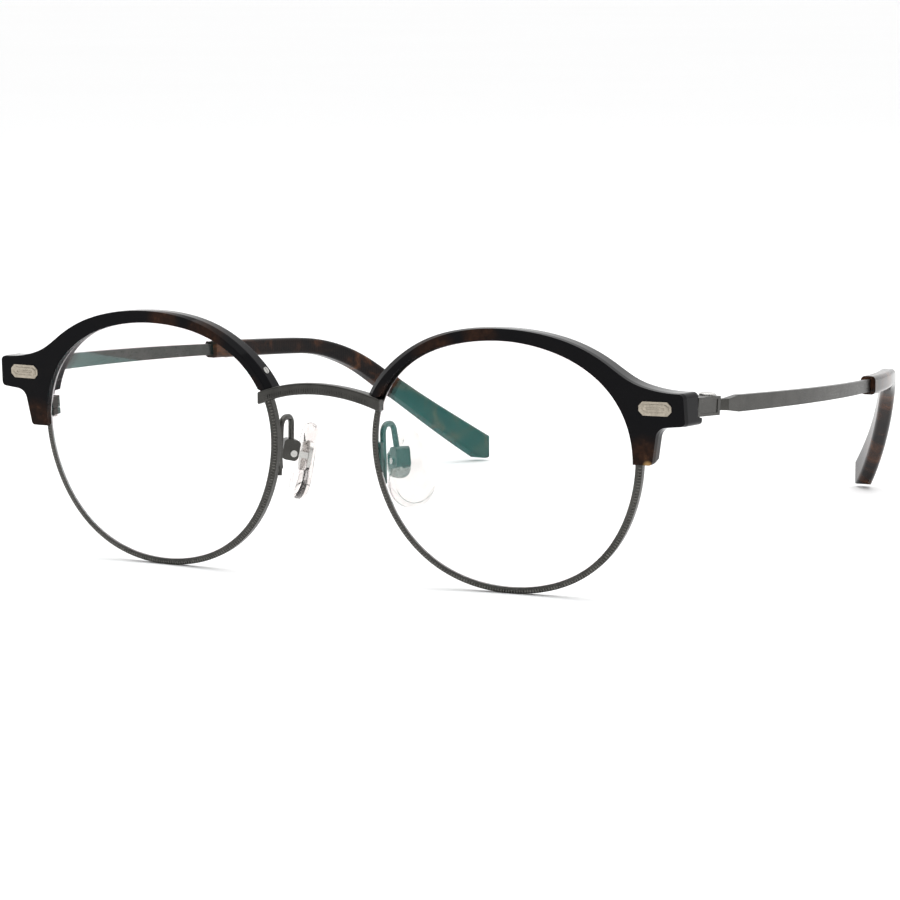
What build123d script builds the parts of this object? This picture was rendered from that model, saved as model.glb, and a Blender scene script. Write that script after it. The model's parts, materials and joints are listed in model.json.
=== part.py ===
"""Half-rim eyeglasses: metal eyewires under acetate brows, folding temples, rocking nose pads.

The glasses stand on a table on the bottoms of both rims and on both temple tips.
+Z is up, the lenses face -Y, and the wearer's left side is at +X. Millimetres.
Everything is drawn for the wearer's left side and mirrored for the right.
"""
import os
from math import cos, hypot, pi, radians, sin, sqrt, tan

from build123d import *

# Front: one eye's own frame has u outward (X), v up (Z) and depth (Y) behind the lens vertex.
front_y = -75.866          # lens vertex plane, so that the whole object is centred on the origin
eye_x = 34.05            # lens centre from the middle
eye_z = 22.435            # lens centre above the table
face_wrap = 3.47         # each eye turns outward, degrees
face_tilt = 5.75         # the top of the front leans forward, degrees
base_radius = 87.0       # front curve of lens and rim
outline_radius = 22.60  # mean radius of the lens outline
outline_waves = {2: (1.046, -0.094), 3: (-0.008, 0.470), 4: (-0.242, 0.013), 5: (0.011, 0.108),
                 6: (-0.031, 0.013)}
outline_stations = 40

# Eyewire and lens, depths measured behind the base curve
rim_width = 1.15
rim_depth = 1.15
lens_front = 0.10
lens_back = 1.10
lip_height = 0.35
lip_front = 0.30
lip_back = 0.80
fit_gap = 0.03
lock_v = 3.59            # height of the split in the rim
lock_split = 0.16
lock_length = 3.3
lock_low = lock_v - 1.15
lock_half_width = 0.9
lock_centre = (24.05, 5.68)
lock_screw_radius = 0.35
lock_head_radius = 0.62
lock_head_high = 0.4

# Acetate brow
brow_front = 2.0
brow_rear = 9.5
brow_cover = 0.05        # how far its front lip reaches inside the lens outline at the leg
brow_bare = 0.60         # how far it stays outside the lens outline at the nasal end
brow_sink = 0.13         # the brow falls toward its back, per mm of depth
end_flare = 0.13         # its outer end widens toward the back, per mm of depth
bevel_depth = 1.1
bevel_small = 0.10
bevel_large = 0.90
nasal_angle = 154.3
leg_low_v = 0.95
leg_low = (26.85, leg_low_v)
leg_corner = (27.95, 7.25)
end_low = (32.90, 7.75)
end_high = (32.70, 13.38)
crown = [(29.6, 13.48), (26.6, 14.00), (23.6, 15.05), (19.3, 17.95), (14.0, 20.85), (7.6, 22.65),
         (0.2, 23.30), (-7.2, 22.75), (-13.7, 20.80), (-19.55, 17.05), (-22.75, 13.75), (-24.75, 10.45)]
back_arc = ((-28.0, 5.6), (4.0, 5.5), (36.0, 7.6))   # u and depth of the brow's back
groove_play = 0.08       # the lens edge never touches the acetate
leg_room = ((20.0, 4.9, -3.0), (30.0, 9.0, 6.9))      # the leg is only as deep as the eyewire
lock_room = ((21.0, 4.0, 1.2), (25.6, 9.0, 6.3))
foot_slope = 15.0        # the underside of the leg rises toward the back, degrees
heel = ((29.0, 5.0, 5.0), (36.0, 8.1, 8.1))           # the end reaches further back under the fork
fork_play = 0.1

# Plaque riveted through the brow to the endpiece
plaque_centre = (27.67, 10.66)
plaque_size = (5.75, 2.40)
plaque_corner = 0.72
plaque_side = 0.45       # half height of the short upright sides
plaque_proud = 0.16
plaque_inset = 0.25
rivet_radius = 0.5
rivet_spacing = 2.8

# Brow screw on the nasal side
screw_angle = 149.0
screw_depth = 4.1
brow_screw_length = 1.3

# Endpiece and temple hinge, in a frame at the pivot with +Y along the temple
pivot = (65.95, 14.2, 33.08)
splay = 7.38
drop = 3.10
cross_tilt = 1.6         # one folded temple passes above the other
fork_inner = -1.25
fork_outer = 1.85
fork_half_height = 1.6
fork_front = -6.0
fork_back = 1.3
slot_half = 0.72
slot_outer = 1.4
panel_deep = 0.12        # recessed panel on the outer side of the fork
panel_front = -5.4
panel_back = 0.45
panel_half = 1.15
knuckle_radius = 1.1
knuckle_half = 0.65
pin_radius = 0.5
pin_clearance = 0.05
pin_head_radius = 1.45
pin_head_high = 0.55
lug_low = (22.3, 4.3, 8.7)
lug_high = (32.2, 6.0, 11.5)
post_start = 29.6        # the lug turns back to the fork from here
post_depth = 7.9

# Temple bar and acetate tip; distances along Y are measured from the lens vertex plane
bar_offset = 1.34        # the bar's middle plane outboard of the pivot
neck_inner = -0.3        # the neck between knuckle and bar, in the hinge frame
neck_outer = 0.9
neck_start = 2.2
neck_full = 4.0          # the outer side of the neck has met the bar
neck_end = 9.0
neck_half = 0.95
bar_start = 21.5
flare_length = 3.6
bar_half_thick = [(22, 0.6), (80, 0.5)]     # distance along Y and half width there
bar_half_high = [(22, 1.42), (80, 1.12)]
sweep_start = 20.0
sweep_rate = 2.684e-4    # inward sweep of the temple, rate and power of the distance
sweep_power = 2.45
ear_bend_start = 107.1
ear_bend_radius = 37.0
ear_bend_angle = 36.5
tip_start = 82.3
tip_end = 152.73
tip_half_thick = [(82, 1.4), (120, 1.45), (150, 1.5)]
tip_half_high = [(82, 1.7), (112, 1.6), (134, 1.9), (150, 2.55), (160, 2.6)]
tip_corner = 2.0
tip_edge = 0.8
core_end = 141.0
core_half_thick = [(80, 0.5), (141, 0.5)]
core_half_high = [(80, 0.9), (141, 0.9)]

# Nose pads, in a frame at the pad screw: X to the nose, Y along the screw, Z up the pad
pad_pivot = (10.7, 9.7, 20.9)
pad_splay = 40.0
pad_lean = 12.0
pad_length = 13.8
pad_width = 8.6
pad_thick = 2.5
pad_face = 1.85
pad_centre_w = 3.2
pad_centre_l = -1.3
pad_top_radius = 2.3
pad_edge = 1.1
pad_slot_half = 0.72
box_low = (-0.95, -1.3, -1.3)
box_high = (2.0, 1.3, 2.4)
box_round = 0.8
box_wall = 0.35
box_roof = 1.2
pad_head_radius = 0.6
lug_radius = 0.9
lug_half = 0.65
lug_reach = 2.9
plate_low = (-3.4, -1.0, -2.9)
plate_high = (-2.8, 3.0, 2.5)
plate_round = 1.8
pad_screw_radius = 0.4
wire_radius = 0.52
arm_points = [(10.5, 4.52, 17.6), (10.1, 4.75, 27.6), (10.15, 8.4, 27.6), (10.6, 9.1, 22.6)]
arm_bend = 1.6
foot_low = (-24.1, 3, -4.0)
foot_high = (-23.1, 5.6, 2.0)

# Bridge
bridge_crown_z = 33.85
bridge_half_span = 11.9
bridge_rise = 2.35
bridge_height = 1.95
bridge_flare = 1.12      # the ends are taller than the crown
bridge_deep = 1.6
bridge_end_deep = 2.7
bridge_bow = 0.95
bridge_front = -1.55



def eye_frame(side):
    """One eye's frame: side is 1 for the wearer's left, -1 for the right."""
    return Pos(side * eye_x, front_y, eye_z) * Rot(X=face_tilt) * Rot(Z=side * face_wrap)


def outline(angle, grow=0.0):
    """Point of the lens outline, grown outward, in one eye's frame."""
    r = outline_radius + grow
    for order, (even, odd) in outline_waves.items():
        r += even * cos(order * angle) + odd * sin(order * angle)
    return (r * cos(angle), 0, r * sin(angle))


def outline_block(grow, side=1):
    """The lens outline as a thick block that reaches past both faces."""
    points = []
    for i in range(outline_stations):
        u, y, v = outline(2 * pi * i / outline_stations, grow)
        points.append((side * u, y, v))
    curve = Spline(*points, periodic=True)
    quarters = [curve.trim(i / 4, (i + 1) / 4) for i in range(4)]
    return extrude(make_face(quarters), amount=12, dir=(0, 1, 0))


def ball(depth):
    """Everything behind a surface that follows the base curve at this depth."""
    return Pos(0, base_radius, 0) * Sphere(base_radius - depth)


def shell(block, near, far):
    """The part of a block between two depths behind the base curve."""
    return (block & ball(near)) - ball(far)


def box_between(low, high):
    """A box given by its lowest and highest corners."""
    middle = [(a + b) / 2 for a, b in zip(low, high)]
    return Pos(*middle) * Box(*[b - a for a, b in zip(low, high)])


def closed_strip(a, b):
    """Face between two arcs that run the same way."""
    return make_face([a, Line(a @ 1, b @ 1), b, Line(b @ 0, a @ 0)])


def eyewire(side):
    ring = shell(outline_block(rim_width, side) - outline_block(0, side), 0, rim_depth)
    ring -= shell(outline_block(lip_height + fit_gap, side), lip_front - fit_gap, lip_back + fit_gap)
    ring -= Pos(side * lock_centre[0], 4, lock_v) * Box(4, 8, lock_split)
    return eye_frame(side) * ring


def lens(side):
    body = shell(outline_block(-fit_gap, side), lens_front, lens_back)
    body += shell(outline_block(lip_height, side), lip_front, lip_back)
    return eye_frame(side) * body


def rim_lock():
    """Two blocks brazed behind the split rim, and the screw that draws them together."""
    u, y = lock_centre
    high = lock_low + lock_length
    width = lock_half_width
    blank = box_between((u - width, 4, lock_low), (u + width, y + 0.77, high)) & ball(rim_depth)
    gap = Pos(u, y, lock_v) * Box(4, 8, lock_split)
    drill = Pos(u, y, lock_v) * Cylinder(lock_screw_radius + 0.02, 2 * lock_length)
    head = Pos(u, y, lock_low - lock_head_high / 2) * Cylinder(lock_head_radius, lock_head_high)
    head -= Pos(u, y, lock_low - lock_head_high) * Box(2, 0.2, 0.3)
    thread = Pos(u, y, (lock_low + high - 0.3) / 2) * Cylinder(lock_screw_radius, lock_length - 0.3)
    return eye_frame(1) * (blank - gap - drill), eye_frame(1) * (head + thread)


def brow_face(y, small, large):
    """The brow seen from the front, drawn in by a bevel that widens toward the nose."""
    def drawn_in(points):
        moved = []
        for i, (u, v) in enumerate(points):
            a = points[max(i - 1, 0)]
            b = points[min(i + 1, len(points) - 1)]
            length = hypot(b[0] - a[0], b[1] - a[1])
            share = min(max((-3 - u) / 17, 0), 1)
            inset = small + (large - small) * share
            moved.append((u - inset * (b[1] - a[1]) / length, v + inset * (b[0] - a[0]) / length))
        return moved

    deep = y - brow_front
    low = (leg_low[0] - small, leg_low[1])
    corner = (leg_corner[0] - small, leg_corner[1] + small)
    end_a = (end_low[0] - small + end_flare * deep, end_low[1] + small)
    end_b = (end_high[0] - small + end_flare * deep, end_high[1] - small)
    top = [end_b] + drawn_in(crown)
    low_angle = leg_low_v / outline_radius
    inner = []
    for i in range(25):
        turn = radians(nasal_angle) + (low_angle - radians(nasal_angle)) * i / 24
        bare = (brow_bare + brow_cover) * (1 - i / 24) ** 2 - brow_cover
        u, _, v = outline(turn, bare)
        inner.append((u, v))
    edges = [Line(low, corner), Line(corner, end_a), Line(end_a, end_b), Spline(*top),
             Line(top[-1], inner[0]), Spline(*inner), Line(inner[-1], low)]
    face = make_face(edges)
    radii = {low: 0.7, corner: 2.0, end_a: 0.8, end_b: 0.9}
    for (u, v), radius in radii.items():
        near = face.vertices().sort_by_distance((u, v, 0))[0]
        face = fillet(near, radius)
    return Plane.XZ.offset(-y) * Pos(0, -brow_sink * deep) * face


def brow():
    front = brow_face(brow_front, bevel_small, bevel_large)
    full = brow_face(brow_front + bevel_depth, 0, 0)
    rear = brow_face(brow_rear, 0, 0)
    body = loft([front.faces()[0], full.faces()[0], rear.faces()[0]], ruled=True)
    back = ThreePointArc(*back_arc)
    plank = make_face([back, Polyline(back @ 1, (36, 0), (-28, 0), back @ 0)])
    body = body & (Pos(0, 0, -5) * extrude(plank, amount=40, dir=(0, 0, 1)) + box_between(*heel))
    body -= shell(outline_block(rim_width + fit_gap), -fit_gap, rim_depth + fit_gap)
    body -= outline_block(groove_play) & ball(lip_front)
    body -= box_between(*leg_room)
    body -= box_between(*lock_room)
    body -= Pos(0, brow_front + 0.6, leg_low_v) * Rot(X=foot_slope) * box_between((20, -1, -5), (30, 6, 0))
    body -= box_between([a - fit_gap for a in lug_low], (lug_high[0], brow_rear, lug_high[2] + fit_gap))
    body -= plaque(fit_gap)
    body -= brow_screw(fit_gap)
    high = fork_half_height + fork_play / 2
    fork_room = box_between((fork_inner - fork_play, fork_front - fork_play, -high), (5, fork_back, high))
    return eye_frame(1) * body - hinge_frame(0) * fork_room - bridge()


def plaque(grow=0.0):
    """Stepped octagon inlaid in the front of the brow, with two rivets that reach the endpiece."""
    def octagon(margin):
        a = plaque_size[0] / 2 - margin
        b = plaque_size[1] / 2 - margin
        c = plaque_corner
        d = plaque_side
        return Polygon((a, -d), (a, d), (a - c, b), (-a + c, b), (-a, d), (-a, -d), (-a + c, -b), (a - c, -b),
                       align=None)

    u, v = plaque_centre
    base = Plane.XZ.offset(-brow_front - plaque_inset - grow) * octagon(-grow)
    plate = extrude(base, amount=plaque_inset + 0.6 * plaque_proud + grow)
    step = Plane.XZ.offset(-brow_front) * octagon(0.45)
    plate += extrude(step, amount=plaque_proud)
    for side in (-1, 1):
        rivet = Rot(X=90) * Cylinder(rivet_radius + grow, lug_low[1] - brow_front)
        plate += Pos(side * rivet_spacing / 2, (lug_low[1] + brow_front) / 2, 0) * rivet
    return Pos(u, 0, v) * plate


def brow_screw(grow=0.0):
    """Screw on the nasal side that pins the brow to the eyewire."""
    angle = radians(screw_angle)
    rim = outline(angle, rim_width + fit_gap)
    start = hypot(rim[0], rim[2])
    end = start + brow_screw_length
    stem = Pos(0, 0, (start + end) / 2) * Cylinder(0.4 + grow, brow_screw_length)
    head = Pos(0, 0, end + 0.05) * Cylinder(0.62 + grow, 0.35 + grow)
    if not grow:
        head -= Pos(0, 0, end + 0.23) * Box(2, 0.2, 0.2)
    return Pos(0, screw_depth, 0) * Rot(Y=90 - screw_angle) * (stem + head)


def hinge_frame(raise_side):
    """Frame at the hinge pin: Y along the temple, Z along the pin."""
    x, y, z = pivot
    return Pos(x, front_y + y, z) * Rot(Z=-splay) * Rot(X=-drop) * Rot(Y=raise_side * cross_tilt)


def endpiece(raise_side):
    """Lug brazed behind the eyewire, with the fork that holds the hinge pin."""
    lug = box_between(lug_low, lug_high) - (outline_block(rim_width) - ball(rim_depth))
    lug += box_between((post_start, lug_low[1], lug_low[2]), (lug_high[0], post_depth, lug_high[2]))
    high = fork_half_height
    block = box_between((fork_inner, fork_front, -high), (fork_outer, fork_back, high))
    block -= box_between((-3, -slot_outer, -slot_half), (slot_outer, 3, slot_half))
    block -= box_between((fork_outer - panel_deep, panel_front, -panel_half), (3, panel_back, panel_half))
    block -= Cylinder(pin_radius + 0.02, 6)
    return eye_frame(1) * lug + hinge_frame(raise_side) * block


def hinge_pin(raise_side):
    """Screw with a low domed head on top of the fork."""
    top = fork_half_height
    dome = Pos(0, 0, top + pin_head_high / 2) * Cylinder(pin_head_radius, pin_head_high)
    dome = fillet(dome.edges().filter_by(GeomType.CIRCLE).sort_by(Axis.Z)[-1], 0.42)
    dome -= Pos(0, 0, top + pin_head_high) * Box(4, 0.3, 0.3)
    return hinge_frame(raise_side) * (dome + Cylinder(pin_radius, 2 * top))


def bar_x(y):
    """The temple's middle line seen from above."""
    start = pivot[0] + bar_offset / cos(radians(splay))
    sweep_in = sweep_rate * max(y - sweep_start, 0) ** sweep_power
    return start + tan(radians(splay)) * (y - pivot[1]) - sweep_in


def bar_z(y):
    """The temple's middle line seen from the side: straight, then bent down behind the ear."""
    first, last = radians(drop), radians(ear_bend_angle)
    start_z = pivot[2] - tan(first) * (min(y, ear_bend_start) - pivot[1])
    bend_length = ear_bend_radius * (sin(last) - sin(first))
    along = min(max(y - ear_bend_start, 0), bend_length)
    height = sqrt(1 - (along / ear_bend_radius + sin(first)) ** 2)
    after = max(y - ear_bend_start - bend_length, 0)
    return start_z - ear_bend_radius * (cos(first) - height) - tan(last) * after


def ramp(y, points):
    """Value at y on a line through (y, value) points."""
    for (y0, a), (y1, b) in zip(points, points[1:]):
        if y <= y1:
            return a + (b - a) * max(y - y0, 0) / (y1 - y0)
    return points[-1][1]


def band(line, start, end, half_width):
    """Flat strip that follows a line x = line(y) in the XY plane."""
    count = max(round((end - start) / 6), 3)
    sides = ([], [])
    for i in range(count + 1):
        y = start + (end - start) * i / count
        slope = (line(y + 0.01) - line(y - 0.01)) / 0.02
        for side, points in zip((1, -1), sides):
            reach = side * ramp(y, half_width) / hypot(1, slope)
            points.append((line(y) + reach, y - reach * slope))
    near, far = sides
    return make_face([Spline(*near), Line(near[-1], far[-1]), Spline(*far[::-1]), Line(far[0], near[0])])


def along_temple(start, end, half_thick, half_high, corner=0.0):
    """Solid along the temple with the given half widths in plan and from the side."""
    plan = band(bar_x, start, end, half_thick)
    side = band(bar_z, start, end, half_high)
    if corner:
        plan = fillet(plan.vertices().sort_by(Axis.Y)[-2:], tip_edge)
        side = fillet(side.vertices().sort_by(Axis.Y)[-2:], corner)
    plan = Pos(0, front_y, -5) * extrude(plan, amount=50, dir=(0, 0, 1))
    side = Pos(0, front_y, 0) * Rot(Y=-90) * extrude(side, amount=-90, dir=(0, 0, 1))
    return plan & side


def temple_core():
    return along_temple(tip_start - 1, core_end, core_half_thick, core_half_high)


def temple(raise_side):
    """Knuckle, narrow neck, flat bar and the core inside the acetate tip."""
    bar = along_temple(bar_start, tip_start, bar_half_thick, bar_half_high)
    flare_start = bar_start - flare_length
    rise = [(flare_start, neck_half), (bar_start, bar_half_high[0][1])]
    bar += along_temple(flare_start, bar_start + 0.3, bar_half_thick, rise)
    half = bar_half_thick[0][1]
    inner, outer = bar_offset - half, bar_offset + half
    near = Polygon((neck_inner, 0), (neck_outer, 0), (neck_outer, neck_start), (neck_inner, neck_start),
                   align=None)
    neck = Polygon((neck_inner, neck_start), (neck_outer, neck_start), (outer, neck_full),
                   (outer, neck_end), (inner, neck_end), (inner, neck_end - 2.8), align=None)
    joint = extrude(near, amount=knuckle_half, both=True) + extrude(neck, amount=neck_half, both=True)
    joint += Cylinder(knuckle_radius, 2 * knuckle_half)
    joint -= Cylinder(pin_radius + pin_clearance, 4)
    return hinge_frame(raise_side) * joint + bar + temple_core()


def temple_tip():
    """Acetate sleeve moulded over the end of the temple."""
    tip = along_temple(tip_start, tip_end, tip_half_thick, tip_half_high)
    tip = fillet(tip.edges().filter_by(lambda e: e.length > 40), tip_edge)
    rounded = along_temple(tip_start, tip_end, tip_half_thick, tip_half_high, tip_corner)
    return (tip & rounded) - temple_core()


def pad_frame():
    """Frame at the pad screw: X away from the nose, Y along the screw, Z up the pad."""
    x, y, z = pad_pivot
    return Pos(x, front_y + y, z) * Rot(Z=-pad_splay) * Rot(Y=-pad_lean)


def pad_box():
    """Channel that holds the lug of the nose pad."""
    body = fillet(box_between(box_low, box_high).edges().filter_by(Axis.Y), box_round)
    body -= box_between((-3, -pad_slot_half, -3), (box_high[0] - box_wall, pad_slot_half, box_roof))
    return pad_frame() * (body - Rot(X=90) * Cylinder(pad_screw_radius + 0.02, 5)) - pad_arm()


def pad_screw():
    front = box_low[1]
    head = Pos(0, front - 0.15, 0) * Rot(X=90) * Cylinder(pad_head_radius, 0.3)
    head -= Pos(0, front - 0.3, 0) * Box(3, 0.2, 0.22)
    return pad_frame() * (head + Rot(X=90) * Cylinder(pad_screw_radius, -2 * front))


def pad_core():
    """Lug and inner plate moulded into the nose pad."""
    lug = Rot(X=90) * Cylinder(lug_radius, 2 * lug_half)
    lug += box_between((-lug_reach, -lug_half, -0.55), (0, lug_half, 0.55))
    lug += fillet(box_between(plate_low, plate_high).edges().filter_by(Axis.X), plate_round)
    return pad_frame() * (lug - Rot(X=90) * Cylinder(pad_screw_radius + pin_clearance, 3))


def nose_pad():
    top = Pos(0, pad_length / 2 - pad_top_radius) * Circle(pad_top_radius)
    low = Pos(0, pad_width / 2 - pad_length / 2) * Circle(pad_width / 2)
    shape = Pos(pad_centre_w, pad_centre_l) * make_hull(top.edges() + low.edges())
    body = extrude(Plane.YZ.offset(-pad_face) * shape, amount=-pad_thick)
    body = fillet(body.edges(), pad_edge)
    return pad_frame() * body - pad_core()


def pad_arm():
    """Bent wire from the back of the eyewire to the pad box."""
    path = FilletPolyline(*[(x, front_y + y, z) for x, y, z in arm_points], radius=arm_bend)
    start = Plane(origin=path @ 0, z_dir=path % 0)
    wire = sweep(start * Circle(wire_radius), path=path)
    foot = eye_frame(1) * (box_between(foot_low, foot_high) & ball(rim_depth))
    return wire + foot


def bridge():
    """Saddle arch between the eyewires, just below the nasal ends of the brows."""
    span = bridge_half_span
    arcs = []
    for half in (bridge_height / 2, -bridge_height / 2):
        end_z = bridge_crown_z - bridge_rise + bridge_flare * half
        arcs.append(ThreePointArc((-span, end_z), (0, bridge_crown_z + half), (span, end_z)))
    arch = extrude(Plane.XZ * closed_strip(*arcs), amount=8, both=True)
    end_back = bridge_bow + bridge_end_deep
    face = ThreePointArc((-span, bridge_bow), (0, 0), (span, bridge_bow))
    back = ThreePointArc((-span, end_back), (0, bridge_deep), (span, end_back))
    body = arch & extrude(closed_strip(face, back), amount=60, dir=(0, 0, 1))
    body = Pos(0, front_y + bridge_front, 0) * fillet(body.edges(), 0.25)
    rim_space = eye_frame(1) * (outline_block(rim_width) & ball(0))
    return body - rim_space - mirror(rim_space, about=Plane.YZ)


def mirrored_pieces():
    """Pieces of the left side whose right-hand twin is an exact mirror image."""
    eye = eye_frame(1)
    lock, lock_screw = rim_lock()
    return {
        "rim_lock": lock,
        "rim_lock_screw": lock_screw,
        "brow": brow(),
        "brow_plaque": eye * plaque(),
        "brow_screw": eye * brow_screw(),
        "temple_tip": temple_tip(),
        "pad_arm": pad_arm(),
        "pad_box": pad_box(),
        "pad_screw": pad_screw(),
        "nose_pad": nose_pad(),
        "pad_core": pad_core(),
    }


def all_nodes():
    """Every node with its solid, at rest in the shared frame."""
    mirrored = mirrored_pieces()
    nodes = {"bridge": bridge()}
    for name, side in (("left", 1), ("right", -1)):
        nodes[f"{name}_eyewire"] = eyewire(side)
        nodes[f"{name}_lens"] = lens(side)
        hinge = {"endpiece": endpiece(side), "hinge_screw": hinge_pin(side), "temple": temple(side)}
        for piece, solid in (mirrored | hinge).items():
            nodes[f"{name}_{piece}"] = solid if side == 1 else mirror(solid, about=Plane.YZ)
    return nodes


if __name__ == "__main__":
    os.makedirs("parts", exist_ok=True)
    for name, solid in all_nodes().items():
        export_step(solid, f"parts/{name}.step")
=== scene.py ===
"""Half-rim eyeglasses open on a pale table: materials, milgrain, engraving, light and camera."""

import json
import math

import bmesh
import bpy
from mathutils import Matrix, Vector
from mathutils.bvhtree import BVHTree

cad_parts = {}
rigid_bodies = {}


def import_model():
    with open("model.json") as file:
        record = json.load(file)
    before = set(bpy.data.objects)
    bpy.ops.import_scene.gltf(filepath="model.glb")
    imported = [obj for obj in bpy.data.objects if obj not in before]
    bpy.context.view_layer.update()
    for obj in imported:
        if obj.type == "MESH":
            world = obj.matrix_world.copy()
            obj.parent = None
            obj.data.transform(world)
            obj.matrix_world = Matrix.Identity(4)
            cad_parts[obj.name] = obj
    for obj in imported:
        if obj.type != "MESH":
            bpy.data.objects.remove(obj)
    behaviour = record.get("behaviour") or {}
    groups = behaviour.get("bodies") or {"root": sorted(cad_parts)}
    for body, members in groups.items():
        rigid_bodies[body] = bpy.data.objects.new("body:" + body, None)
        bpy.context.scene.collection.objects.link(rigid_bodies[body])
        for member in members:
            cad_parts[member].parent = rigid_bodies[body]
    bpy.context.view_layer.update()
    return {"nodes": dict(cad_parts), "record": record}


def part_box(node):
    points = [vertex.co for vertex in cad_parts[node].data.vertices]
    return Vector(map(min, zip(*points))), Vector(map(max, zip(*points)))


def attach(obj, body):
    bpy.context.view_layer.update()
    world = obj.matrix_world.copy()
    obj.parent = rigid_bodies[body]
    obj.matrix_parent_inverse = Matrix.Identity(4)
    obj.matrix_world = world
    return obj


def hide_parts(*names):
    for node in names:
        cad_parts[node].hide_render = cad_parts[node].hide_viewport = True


for stray in list(bpy.data.objects):
    bpy.data.objects.remove(stray)

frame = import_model()
NODES = frame["nodes"]
RECORD = frame["record"]
MM = 0.001
SIDES = ("left", "right")

# Camera, in metres and degrees
CAMERA_PLACE = (0.302787, -0.631318, 0.108428)
CAMERA_TURN = 26.563
CAMERA_PITCH = 7.679
CAMERA_LENS = 148.5
CAMERA_SENSOR = 36

# How far ahead of the front the search rays start
RAY_START = 15 * MM

# Beads along the eyewire: size of one, and the search for its front face outward from the lens centre
BEAD_PITCH = 0.52 * MM
BEAD_ALONG = 0.17 * MM
BEAD_ACROSS = 0.36 * MM
BEAD_PROUD = 0.13 * MM
RIM_SEARCH_START = 20 * MM
RIM_SEARCH_STEP = 0.06 * MM
RIM_SEARCH_COUNT = 110
RIM_SHARE = 0.6

# Upright lines on the bridge: they fill the lower share of its front, between plain ends
RIB_PITCH = 0.46 * MM
RIB_PROUD = 0.11 * MM
RIB_HALF_WIDTH = 0.13 * MM
RIB_SHARE = 0.62
RIB_ROWS = 80
BRIDGE_PLAIN_END = 2 * MM
FACING_FORWARD = -0.8
FEWEST_HITS = 4

# Relief of the plaques
FACE_DEPTH = 0.01 * MM
PLAQUE_TAPER = 0.75
BORDER_MARGIN = 0.02 * MM
BORDER_WIDTH = 0.15 * MM
BORDER_PROUD = 0.07 * MM
BORDER_CORNER = 0.62 * MM
BORDER_INNER_CORNER = 0.58 * MM
RELIEF_SUNK = -0.05 * MM
BAR_END = 0.85 * MM
BAR_HALF = 0.2 * MM
BAR_WALL = 0.1 * MM
BAR_PROUD = 0.09 * MM
GROOVE_PITCH = 0.26 * MM
GROOVE_END = 0.8 * MM
GROOVE_FROM_BAR = 0.28 * MM
GROOVE_FROM_EDGE = 0.24 * MM
GROOVE_HALF_WIDTH = 0.07 * MM
GROOVE_PROUD = 0.035 * MM

# Knurled hinge screw; its head goes through (share of the radius, height, share of the tooth depth)
HEAD_HEIGHT = 0.55 * MM
HEAD_PROFILE = ((0.98, 0.0, 1.0), (1.0, 0.14 * MM, 1.0), (0.95, 0.30 * MM, 1.0), (0.80, 0.44 * MM, 0.6),
                (0.5, 0.52 * MM, 0.0), (0.2, HEAD_HEIGHT, 0.0))
SHAFT_RADIUS = 0.5 * MM
TEETH = 30
TOOTH_DEPTH = 0.035
HEAD_SIDES = 180

# Brown and amber places on the brows, partly the tortoise pattern and partly painted glow of light
# through the acetate, in millimetres: along the lens away from the nose, up, and radius
FRONT_DEPTH = -1.5
BROWN_TONE_AND_GLOW_SPOTS = ((-11.5, 19.2, 5.0), (-20.0, 10.5, 3.5), (-3.0, 22.2, 4.0), (25.6, 2.5, 4.5))
AMBER_TONE_AND_GLOW_SPOT = (26.1, 1.3, 1.1)

# Light and floor
DOME_STRENGTH = 1.2
DARK_AHEAD = (-0.30, -0.95, -0.05)
OVERHEAD_POWER = 3.2
SIDE_POWER = 0.9
FLOOR_REACH = 12.0


# ---------------------------------------------------------------- places taken from the frame

def eye_frame(side):
    """Matrix of one eye: X outward or inward along the lens, Y into the lens, Z up the lens."""
    mount = next(m for m in RECORD["mounts"] if m["name"] == f"{side}_front_face")
    depth = -Vector(mount["axis"]).normalized()
    up = Vector((1, 0, 0)).cross(depth).normalized()
    across = depth.cross(up)
    low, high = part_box(f"{side}_lens")
    matrix = Matrix((across, depth, up)).transposed().to_4x4()
    matrix.translation = (low + high) / 2
    return matrix


def surface_of(node):
    """Search tree over a CAD node's faces."""
    mesh = NODES[node].data
    return BVHTree.FromPolygons([v.co for v in mesh.vertices], [p.vertices[:] for p in mesh.polygons])


def first_hit(tree, start, direction):
    """Place, normal and distance of the first face met, or None for each."""
    place, normal, _, distance = tree.ray_cast(start, direction)
    return place, normal, distance


# ---------------------------------------------------------------- meshes

def add_piece(name, shape, material, smooth=30):
    """A mesh object that rides on the front, with the given material."""
    mesh = bpy.data.meshes.new(name)
    shape.to_mesh(mesh)
    shape.free()
    piece = bpy.data.objects.new(name, mesh)
    bpy.context.scene.collection.objects.link(piece)
    mesh.materials.append(material)
    mesh.shade_smooth()
    mesh.set_sharp_from_angle(angle=math.radians(smooth))
    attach(piece, "front")
    return piece


def rim_middle(tree, cover, place, turn):
    """Point on the outer half of the eyewire's front face at this angle, or None under the brow."""
    across = place.to_3x3() @ Vector((math.cos(turn), 0, math.sin(turn)))
    depth = place.to_3x3() @ Vector((0, 1, 0))
    start = place.translation - depth * RAY_START
    found = []
    for i in range(RIM_SEARCH_COUNT):
        at = start + across * (RIM_SEARCH_START + i * RIM_SEARCH_STEP)
        hit, _, distance = first_hit(tree, at, depth)
        if hit is None:
            continue
        covered = first_hit(cover, at, depth)[2]
        if covered is not None and covered < distance:
            return None
        found.append(hit)
    return found[int(RIM_SHARE * len(found))] if found else None


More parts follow.
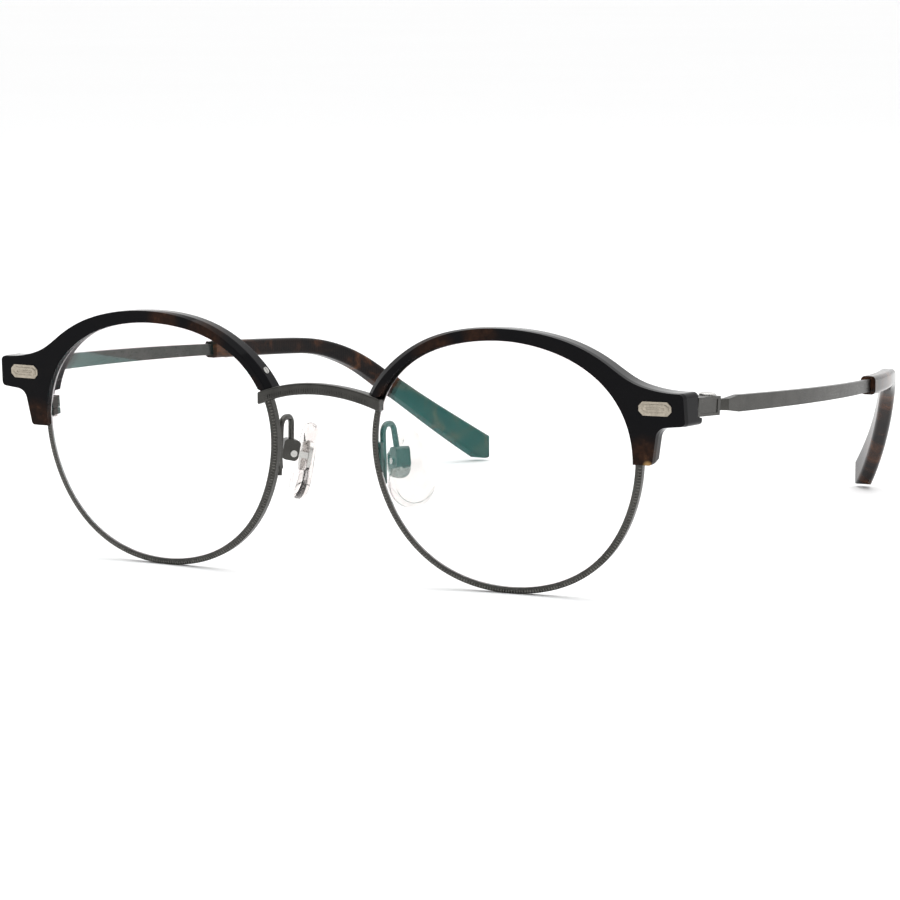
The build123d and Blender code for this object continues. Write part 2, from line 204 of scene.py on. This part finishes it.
def milgrain(side, material):
    """A row of fine beads along the front of the eyewire."""
    tree = surface_of(f"{side}_eyewire")
    cover = surface_of(f"{side}_brow")
    place = eye_frame(side)
    outward = place.to_3x3() @ Vector((0, -1, 0))
    low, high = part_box(f"{side}_eyewire")
    count = round(math.pi * (high.z - low.z + 2 * MM) / BEAD_PITCH)
    shape = bmesh.new()
    for i in range(count):
        turn = 2 * math.pi * i / count
        spot = rim_middle(tree, cover, place, turn)
        if spot is None:
            continue
        across = place.to_3x3() @ Vector((math.cos(turn), 0, math.sin(turn)))
        along = outward.cross(across)
        axes = Matrix((along * BEAD_ALONG, outward * BEAD_PROUD, across * BEAD_ACROSS)).transposed()
        at = Matrix.Translation(spot) @ axes.to_4x4()
        bmesh.ops.create_icosphere(shape, subdivisions=2, radius=1, matrix=at)
    add_piece(f"{side}_milgrain", shape, material, 80)


def join_rings(shape, rings):
    """Bands of four-sided faces between neighbouring rings."""
    for a, b in zip(rings, rings[1:]):
        for i in range(len(a)):
            j = (i + 1) % len(a)
            shape.faces.new((a[i], a[j], b[j], b[i]))


def ridge(shape, points, across, outward, half_width, proud):
    """A fine triangular ridge through the points."""
    rows = []
    for spot in points:
        rows.append([shape.verts.new(spot - across * half_width - outward * proud),
                     shape.verts.new(spot + outward * proud),
                     shape.verts.new(spot + across * half_width - outward * proud)])
    join_rings(shape, rows)
    shape.faces.new(rows[0][::-1])
    shape.faces.new(rows[-1])


def bridge_engraving(material):
    """Fine upright lines on the lower front of the bridge, under its plain top."""
    tree = surface_of("bridge")
    low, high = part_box("bridge")
    forward = Vector((0, 1, 0))
    count = int((high.x - low.x - 2 * BRIDGE_PLAIN_END) / RIB_PITCH)
    shape = bmesh.new()
    for i in range(count):
        x = low.x + BRIDGE_PLAIN_END + (i + 0.5) * RIB_PITCH
        column = []
        for k in range(RIB_ROWS):
            z = low.z - MM + k * (high.z - low.z + 2 * MM) / RIB_ROWS
            hit, normal, _ = first_hit(tree, Vector((x, low.y - RAY_START, z)), forward)
            if hit is not None and normal.y < FACING_FORWARD:
                column.append(hit)
        if len(column) < FEWEST_HITS:
            continue
        top = column[0].z + RIB_SHARE * (column[-1].z - column[0].z)
        spots = [p for p in column if p.z < top][::3]
        if len(spots) > 1:
            ridge(shape, spots, Vector((1, 0, 0)), -forward, RIB_HALF_WIDTH, RIB_PROUD)
    add_piece("bridge_engraving", shape, material)


def octagon(half_u, half_v, corner):
    """Outline of a plaque: a rectangle with blunt ends."""
    side = half_v - PLAQUE_TAPER * corner
    return [(half_u, -side), (half_u, side), (half_u - corner, half_v), (-half_u + corner, half_v),
            (-half_u, side), (-half_u, -side), (-half_u + corner, -half_v), (half_u - corner, -half_v)]


def rectangle(half_u, half_v):
    return [(half_u, -half_v), (half_u, half_v), (-half_u, half_v), (-half_u, -half_v)]


def wall(shape, middle, outer, inner, rise):
    """A low wall between two outlines around the middle of the plaque."""
    rings = []
    for outline, height in ((outer, RELIEF_SUNK), (outer, rise), (inner, rise), (inner, RELIEF_SUNK)):
        rings.append([shape.verts.new(middle + Vector((u, -height, v))) for u, v in outline])
    join_rings(shape, rings + rings[:1])


def grooves(shape, middle, half_u, half_v):
    """Fine upright ridges above and below the centre bar."""
    count = int(2 * (half_u - GROOVE_END) / GROOVE_PITCH)
    near, far = GROOVE_FROM_BAR, half_v - GROOVE_FROM_EDGE
    for i in range(count):
        u = (i + 0.5 - count / 2) * GROOVE_PITCH
        for start, end in ((near, far), (-far, -near)):
            points = [middle + Vector((u, 0, start)), middle + Vector((u, 0, end))]
            ridge(shape, points, Vector((1, 0, 0)), Vector((0, -1, 0)), GROOVE_HALF_WIDTH, GROOVE_PROUD)


def plaque_relief(side, material):
    """Raised border and centre bar with fine upright grooves on the plaque."""
    place = eye_frame(side)
    local = [place.inverted() @ v.co for v in NODES[f"{side}_brow_plaque"].data.vertices]
    front = min(p.y for p in local)
    face = [p for p in local if p.y < front + FACE_DEPTH]
    low_u, high_u = min(p.x for p in face), max(p.x for p in face)
    low_v, high_v = min(p.z for p in face), max(p.z for p in face)
    middle = Vector(((low_u + high_u) / 2, front, (low_v + high_v) / 2))
    half_u, half_v = (high_u - low_u) / 2, (high_v - low_v) / 2
    shape = bmesh.new()
    outer = octagon(half_u - BORDER_MARGIN, half_v - BORDER_MARGIN, BORDER_CORNER)
    inset = BORDER_MARGIN + BORDER_WIDTH
    inner = octagon(half_u - inset, half_v - inset, BORDER_INNER_CORNER)
    wall(shape, middle, outer, inner, BORDER_PROUD)
    bar_u = half_u - BAR_END
    wall(shape, middle, rectangle(bar_u, BAR_HALF), rectangle(bar_u - BAR_WALL, BAR_HALF - BAR_WALL),
         BAR_PROUD)
    grooves(shape, middle, half_u, half_v)
    shape.transform(place)
    bmesh.ops.recalc_face_normals(shape, faces=shape.faces)
    add_piece(f"{side}_plaque_relief", shape, material)


def knurled_screw(side, material):
    """Hinge screw with a knurled domed head, in place of the plain CAD screw."""
    joint = next(j for j in RECORD["behaviour"]["joints"] if j["name"] == f"{side}_temple_fold")
    axis = Vector(joint["axis"])
    axis = axis if axis.z > 0 else -axis
    place = Vector((0, 0, 1)).rotation_difference(axis).to_matrix().to_4x4()
    place.translation = Vector(joint["pos_m"])
    reach = [place.inverted() @ v.co for v in NODES[f"{side}_hinge_screw"].data.vertices]
    top, bottom = max(p.z for p in reach), min(p.z for p in reach)
    radius = max(math.hypot(p.x, p.y) for p in reach)
    seat = top - HEAD_HEIGHT
    profile = [(SHAFT_RADIUS, bottom, 0), (SHAFT_RADIUS, seat, 0)]
    profile += [(radius * share, seat + height, knurl) for share, height, knurl in HEAD_PROFILE]
    shape = bmesh.new()
    rings = []
    for r, z, knurl in profile:
        ring = []
        for i in range(HEAD_SIDES):
            turn = 2 * math.pi * i / HEAD_SIDES
            grown = r * (1 + TOOTH_DEPTH * knurl * (math.cos(TEETH * turn) - 1))
            ring.append(shape.verts.new((grown * math.cos(turn), grown * math.sin(turn), z)))
        rings.append(ring)
    join_rings(shape, rings)
    shape.faces.new(rings[0][::-1])
    shape.faces.new(rings[-1])
    shape.transform(place)
    piece = add_piece(f"{side}_knurled_screw", shape, material, 50)
    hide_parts(f"{side}_hinge_screw")


# ---------------------------------------------------------------- materials

def node(tree, kind, inputs=None, **settings):
    """A shader node with its settings and inputs; an input is a value or another node's socket."""
    made = tree.nodes.new("ShaderNode" + kind)
    for key, value in settings.items():
        setattr(made, key, value)
    for key, value in (inputs or {}).items():
        if isinstance(value, bpy.types.NodeSocket):
            tree.links.new(value, made.inputs[key])
        else:
            made.inputs[key].default_value = value
    return made


def new_tree(name):
    """A new material and its emptied node tree."""
    material = bpy.data.materials.new(name)
    material.use_nodes = True
    material.node_tree.nodes.clear()
    return material, material.node_tree


def ramp(tree, factor, stops):
    """Colour ramp through (place, colour) stops; returns its colour socket."""
    made = node(tree, "ValToRGB", {"Fac": factor})
    elements = made.color_ramp.elements
    while len(elements) < len(stops):
        elements.new(0.5)
    for element, (at, colour) in zip(elements, stops):
        element.position = at
        element.color = (*colour, 1)
    return made.outputs["Color"]


def span(tree, value, low, high, to_low=0.0, to_high=1.0):
    """Value taken from one range to another, clamped, with a smooth curve."""
    made = node(tree, "MapRange", {"Value": value, "From Min": low, "From Max": high,
                                   "To Min": to_low, "To Max": to_high}, interpolation_type="SMOOTHSTEP")
    return made.outputs["Result"]


def maths(tree, operation, a, b):
    """Result of one maths operation on two values."""
    return node(tree, "Math", {0: a, 1: b}, operation=operation).outputs[0]


def noise(tree, coordinates, scale, detail, roughness=0.55, distortion=0.0):
    """Value of a noise texture in space, centred on a half."""
    made = node(tree, "TexNoise", {"Vector": coordinates, "Scale": scale, "Detail": detail,
                                   "Roughness": roughness, "Distortion": distortion})
    return made.outputs["Fac"]


def stretched(tree, coordinates, scale):
    """Coordinates scaled by a different amount along each axis."""
    return node(tree, "Mapping", {"Vector": coordinates, "Scale": scale}).outputs["Vector"]


def mix_colour(tree, factor, a, b):
    """Mix of two colours, each a triple or a colour socket."""
    made = node(tree, "Mix", data_type="RGBA")
    for key, value in ((0, factor), (6, a), (7, b)):
        if isinstance(value, bpy.types.NodeSocket):
            tree.links.new(value, made.inputs[key])
        else:
            made.inputs[key].default_value = value if key == 0 else (*value, 1)
    return made.outputs[2]


def rounded_normal(tree, radius, height, strength, distance):
    """Normal with softly rounded edges and a fine bump."""
    bevel = node(tree, "Bevel", {"Radius": radius}, samples=4)
    bump = node(tree, "Bump", {"Height": height, "Strength": strength, "Distance": distance,
                               "Normal": bevel.outputs["Normal"]})
    return bump.outputs["Normal"]


def finish_material(tree, shader):
    """Joins the shader to the material's surface."""
    node(tree, "OutputMaterial", {"Surface": shader})


def gunmetal():
    """Dark plated metal with fine brushing, cloudy tone and slightly paler streaks along the brushing.
    """
    material, tree = new_tree("gunmetal")
    place = node(tree, "TexCoord").outputs["Object"]
    cloud = noise(tree, place, 260, 4)
    grain = noise(tree, stretched(tree, place, (1.0, 0.12, 1.0)), 6500, 3, 0.7)
    tone = ramp(tree, cloud, [(0.3, (0.048, 0.047, 0.044)), (0.7, (0.074, 0.072, 0.067))])
    colour = mix_colour(tree, span(tree, grain, 0.35, 0.75, 0.0, 0.35), tone, (0.115, 0.112, 0.104))
    shader = node(tree, "BsdfPrincipled", {
        "Base Color": colour, "Metallic": 1.0,
        "Roughness": span(tree, grain, 0.3, 0.7, 0.26, 0.42),
        "Normal": rounded_normal(tree, 0.08 * MM, grain, 0.12, 0.02 * MM)})
    finish_material(tree, shader.outputs[0])
    return material


def beads():
    """The same plating on the milgrain, a little smoother, with a paler base colour than the rim:
    painted highlight, so that the beads show as bright dots.
    """
    material, tree = new_tree("milgrain")
    place = node(tree, "TexCoord").outputs["Object"]
    cloud = noise(tree, place, 700, 3)
    # paler than the rim's plating: painted highlight on the beads
    tone = ramp(tree, cloud, [(0.35, (0.10, 0.098, 0.090)), (0.7, (0.17, 0.166, 0.152))])
    shader = node(tree, "BsdfPrincipled", {
        "Base Color": tone, "Metallic": 1.0, "Roughness": span(tree, cloud, 0.3, 0.7, 0.22, 0.36)})
    finish_material(tree, shader.outputs[0])
    return material


def champagne():
    """Pale warm plating of the plaques with fine scratches."""
    material, tree = new_tree("champagne_plate")
    place = node(tree, "TexCoord").outputs["Object"]
    cloud = noise(tree, place, 900, 4)
    scratch = noise(tree, stretched(tree, place, (0.15, 1.0, 1.0)), 9000, 2, 0.6)
    tone = ramp(tree, cloud, [(0.3, (0.31, 0.275, 0.225)), (0.7, (0.44, 0.39, 0.32))])
    shader = node(tree, "BsdfPrincipled", {
        "Base Color": tone, "Metallic": 1.0, "Roughness": span(tree, scratch, 0.3, 0.7, 0.22, 0.38),
        "Normal": rounded_normal(tree, 0.04 * MM, scratch, 0.1, 0.01 * MM)})
    finish_material(tree, shader.outputs[0])
    return material


def bright_steel():
    """Plain steel of screw heads and pad cores."""
    material, tree = new_tree("screw_steel")
    place = node(tree, "TexCoord").outputs["Object"]
    scratch = noise(tree, place, 7000, 3, 0.6)
    tone = ramp(tree, scratch, [(0.3, (0.42, 0.415, 0.40)), (0.7, (0.60, 0.59, 0.57))])
    shader = node(tree, "BsdfPrincipled", {
        "Base Color": tone, "Metallic": 1.0, "Roughness": span(tree, scratch, 0.3, 0.7, 0.2, 0.34),
        "Normal": rounded_normal(tree, 0.05 * MM, scratch, 0.1, 0.01 * MM)})
    finish_material(tree, shader.outputs[0])
    return material


def patches(tree, place, spots):
    """Mask that is 1 at each spot (x, y, z, radius in millimetres) and fades to 0 at its radius."""
    total = None
    for x, y, z, radius in spots:
        away = node(tree, "VectorMath", {0: place, 1: (x * MM, y * MM, z * MM)}, operation="DISTANCE")
        near = span(tree, away.outputs["Value"], radius * MM, 0.35 * radius * MM)
        total = near if total is None else maths(tree, "MAXIMUM", total, near)
    return total


def brow_acetate(spots, amber):
    """Polished tortoise acetate, almost black, with brown clouds at given places and one amber patch,
    partly the tortoise pattern and partly painted glow of light through the acetate.
    """
    material, tree = new_tree("tortoise_acetate")
    place = node(tree, "TexCoord").outputs["Object"]
    cloud = noise(tree, place, 190, 4, 0.6, 0.8)
    fine = noise(tree, place, 900, 3, 0.5)
    dark = ramp(tree, cloud, [(0.35, (0.0030, 0.0030, 0.0040)), (0.66, (0.0040, 0.0037, 0.0044)),
                              (0.80, (0.0110, 0.0060, 0.0050))])
    brown = ramp(tree, fine, [(0.30, (0.012, 0.0055, 0.0035)), (0.62, (0.030, 0.0125, 0.0065)),
                              (0.85, (0.075, 0.034, 0.016))])
    # brown zones and amber patch: partly tortoise pattern, partly painted glow of light through the
    # acetate
    mask = maths(tree, "MULTIPLY", patches(tree, place, spots), span(tree, cloud, 0.25, 0.55, 0.35, 1.0))
    colour = mix_colour(tree, mask, dark, brown)
    colour = mix_colour(tree, patches(tree, place, amber), colour, (0.42, 0.25, 0.10))
    polish = noise(tree, place, 2600, 2)
    shader = node(tree, "BsdfPrincipled", {
        "Base Color": colour, "Roughness": span(tree, polish, 0.3, 0.7, 0.06, 0.11), "IOR": 1.48,
        "Specular IOR Level": 0.07,
        "Normal": rounded_normal(tree, 0.18 * MM, polish, 0.03, 0.02 * MM)})
    finish_material(tree, shader.outputs[0])
    return material


def tip_acetate():
    """Dark translucent acetate of the temple tips with the ribbed core showing through."""
    material, tree = new_tree("tip_acetate")
    place = node(tree, "TexCoord").outputs["Object"]
    cloud = noise(tree, place, 120, 4, 0.6, 1.0)
    base = ramp(tree, cloud, [(0.40, (0.0050, 0.0045, 0.0050)), (0.50, (0.0100, 0.0062, 0.0055)),
                              (0.60, (0.040, 0.0165, 0.0090)), (0.70, (0.105, 0.042, 0.018))])
    rib = node(tree, "TexWave", {"Vector": place, "Scale": 620.0, "Distortion": 0.6, "Detail": 1.0},
               wave_type="BANDS", bands_direction="Y", wave_profile="SIN").outputs["Fac"]
    colour = mix_colour(tree, maths(tree, "MULTIPLY", span(tree, rib, 0.3, 0.8), 0.16), base,
                        (0.034, 0.022, 0.017))
    polish = noise(tree, place, 2400, 2)
    shader = node(tree, "BsdfPrincipled", {
        "Base Color": colour, "Roughness": span(tree, polish, 0.3, 0.7, 0.10, 0.17), "IOR": 1.5,
        "Specular IOR Level": 0.10,
        "Normal": rounded_normal(tree, 0.25 * MM, polish, 0.03, 0.02 * MM)})
    finish_material(tree, shader.outputs[0])
    return material


def lamps_through(tree, shader, tint):
    """Lets lamp light through a clear piece, so that it casts almost no shadow."""
    path = node(tree, "LightPath")
    clear = node(tree, "BsdfTransparent", {"Color": (*tint, 1)})
    either = maths(tree, "MAXIMUM", path.outputs["Is Shadow Ray"], path.outputs["Is Diffuse Ray"])
    mixed = node(tree, "MixShader", {0: either, 1: shader, 2: clear.outputs[0]})
    return mixed.outputs[0]


def coated_lens():
    """Clear demo lens with a coating that mirrors teal."""
    material, tree = new_tree("coated_lens")
    place = node(tree, "TexCoord").outputs["Object"]
    film = noise(tree, place, 60, 2)
    shader = node(tree, "BsdfPrincipled", {
        "Base Color": ramp(tree, film, [(0.3, (0.975, 0.985, 0.99)), (0.7, (0.985, 0.99, 0.99))]),
        "Transmission Weight": 1.0, "IOR": 1.5,
        "Roughness": 0.0, "Specular IOR Level": 1.0, "Specular Tint": (0.14, 1.0, 0.90, 1.0)})
    finish_material(tree, lamps_through(tree, shader.outputs[0], (0.97, 0.985, 0.99)))
    return material


def clear_pad():
    """Clear moulded pad with a faint warm tint."""
    material, tree = new_tree("clear_pad")
    place = node(tree, "TexCoord").outputs["Object"]
    cloud = noise(tree, place, 500, 3)
    shader = node(tree, "BsdfPrincipled", {
        "Base Color": ramp(tree, cloud, [(0.3, (0.79, 0.73, 0.71)), (0.7, (0.87, 0.82, 0.80))]),
        "Transmission Weight": 1.0, "IOR": 1.50, "Roughness": 0.03})
    finish_material(tree, lamps_through(tree, shader.outputs[0], (0.94, 0.92, 0.91)))
    return material


def floor_material():
    """Plain matt white table."""
    material, tree = new_tree("pale_floor")
    place = node(tree, "TexCoord").outputs["Object"]
    cloud = noise(tree, place, 3, 3)
    tone = ramp(tree, cloud, [(0.3, (0.935, 0.935, 0.935)), (0.7, (0.945, 0.945, 0.945))])
    shader = node(tree, "BsdfPrincipled", {
        "Base Color": tone, "Roughness": 0.7, "Specular IOR Level": 0.1})
    finish_material(tree, shader.outputs[0])
    return material


# ---------------------------------------------------------------- the glasses

def dress(material_of_slot):
    """Gives every CAD node the material of its slot in the record."""
    slots = {part["node"]: part["material_slot"] for part in RECORD["subparts"]}
    for name, shown in NODES.items():
        shown.data.materials.clear()
        shown.data.materials.append(material_of_slot[slots[name]])


def brow_tone_and_glow_spots():
    """Brown zones along the inner edges of the brows and down their legs, and amber at one leg's foot:
    partly the tortoise pattern and partly painted glow of light through the acetate.
    """
    def placed(side, sign, spot):
        u, v, radius = spot
        at = eye_frame(side) @ (Vector((sign * u, FRONT_DEPTH, v)) * MM) / MM
        return (*at, radius)

    sides = (("left", 1), ("right", -1))
    spots = [placed(side, sign, spot) for side, sign in sides for spot in BROWN_TONE_AND_GLOW_SPOTS]
    return spots, [placed("left", 1, AMBER_TONE_AND_GLOW_SPOT)]


def build():
    """Gives the CAD nodes their looks and adds the fine metal detail."""
    spots, amber = brow_tone_and_glow_spots()
    metal = gunmetal()
    plate = champagne()
    steel = bright_steel()
    dress({"gunmetal": metal, "tortoise_acetate": brow_acetate(spots, amber),
           "tip_acetate": tip_acetate(), "lens": coated_lens(), "plaque": plate, "screw": steel,
           "clear_pad": clear_pad()})
    grain = beads()
    for side in SIDES:
        milgrain(side, grain)
        plaque_relief(side, plate)
        knurled_screw(side, steel)
    bridge_engraving(metal)


# ---------------------------------------------------------------- stage

def area_light(name, place, target, size, power):
    """A rectangular white lamp at a place, turned to its target."""
    lamp = bpy.data.lights.new(name, "AREA")
    lamp.shape = "RECTANGLE"
    lamp.size, lamp.size_y = size
    lamp.energy = power
    shown = bpy.data.objects.new(name, lamp)
    bpy.context.scene.collection.objects.link(shown)
    shown.location = place
    aim = Vector(target) - Vector(place)
    shown.rotation_euler = aim.to_track_quat("-Z", "Y").to_euler()


def world_light():
    """White dome that darkens in front of the glasses, so that the brows stay deep black."""
    world = bpy.data.worlds.new("studio")
    bpy.context.scene.world = world
    world.use_nodes = True
    tree = world.node_tree
    tree.nodes.clear()
    way = node(tree, "TexCoord").outputs["Generated"]
    ahead = node(tree, "VectorMath", {0: way, 1: DARK_AHEAD}, operation="DOT_PRODUCT")
    shade = span(tree, ahead.outputs["Value"], 0.30, 0.80, 1.0, 0.10)
    colour = mix_colour(tree, shade, (0.0, 0.0, 0.0), (1.0, 1.0, 1.0))
    back = node(tree, "Background", {"Color": colour, "Strength": DOME_STRENGTH})
    node(tree, "OutputWorld", {"Surface": back.outputs[0]})


def stage():
    """Floor, dome and two soft lamps."""
    mesh = bpy.data.meshes.new("floor")
    corners = ((-1, -1), (1, -1), (1, 1), (-1, 1))
    mesh.from_pydata([(x * FLOOR_REACH, y * FLOOR_REACH, 0) for x, y in corners], [], [(0, 1, 2, 3)])
    floor = bpy.data.objects.new("floor", mesh)
    bpy.context.scene.collection.objects.link(floor)
    mesh.materials.append(floor_material())
    world_light()
    area_light("overhead", (0.05, 0.05, 0.75), (0, 0, 0), (0.9, 0.9), OVERHEAD_POWER)
    area_light("left_side", (-0.7, -0.1, 0.40), (-0.02, 0, 0.03), (0.45, 0.5), SIDE_POWER)


def camera():
    """Camera a little above the glasses, seeing them from the wearer's left."""
    lens = bpy.data.cameras.new("camera")
    lens.lens = CAMERA_LENS
    lens.sensor_width = CAMERA_SENSOR
    shown = bpy.data.objects.new("camera", lens)
    bpy.context.scene.collection.objects.link(shown)
    shown.location = CAMERA_PLACE
    shown.rotation_euler = (math.radians(90 - CAMERA_PITCH), 0, math.radians(CAMERA_TURN))
    bpy.context.scene.camera = shown


build()
stage()
camera()
bpy.context.scene.view_settings.view_transform = "Standard"
